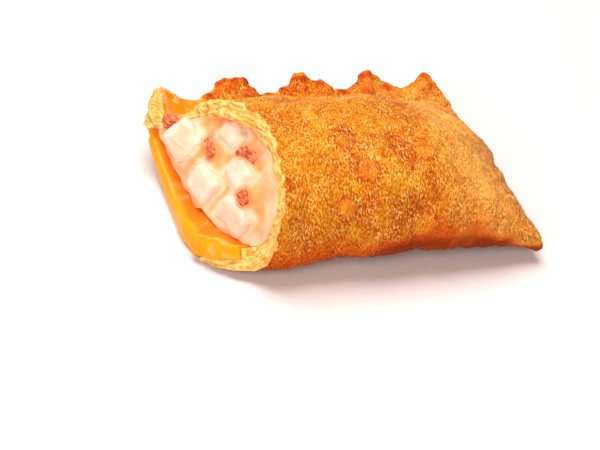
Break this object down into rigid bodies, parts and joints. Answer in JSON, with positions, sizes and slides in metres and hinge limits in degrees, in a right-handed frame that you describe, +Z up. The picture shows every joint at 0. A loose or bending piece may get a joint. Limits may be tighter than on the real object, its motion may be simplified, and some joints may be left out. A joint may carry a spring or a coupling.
{
  "type": "bacon potato pie",
  "caption": "Half of a fried folded pie with bubbled golden crust and a crimped, toothed seam, torn across to show diced potato and bacon in cream over cheese sauce.",
  "frame": {"origin": "middle of the footprint, on the surface the pie lies on", "axes": "+X from the torn end to the pressed end, +Y from the fold to the crimped seam, +Z up"},
  "size_m": [0.076, 0.0566, 0.0248],
  "materials": {
    "fried_pastry": "deep-fried pastry, golden orange, bubbled and grainy",
    "cream": "thick cream sauce, moist",
    "cheese_sauce": "smooth orange cheese sauce, wet",
    "boiled_potato": "boiled potato, pale and moist",
    "bacon": "cured bacon, pink with a wet grain"
  },
  "bodies": {
    "root": {"pastry_crust": "fried_pastry", "cream_filling": "cream", "cheese_sauce": "cheese_sauce", "potato_1": "boiled_potato", "potato_2": "boiled_potato", "potato_3": "boiled_potato", "potato_4": "boiled_potato", "potato_5": "boiled_potato", "bacon_1": "bacon", "bacon_2": "bacon", "bacon_3": "bacon", "bacon_4": "bacon"}
  },
  "joints": []
}
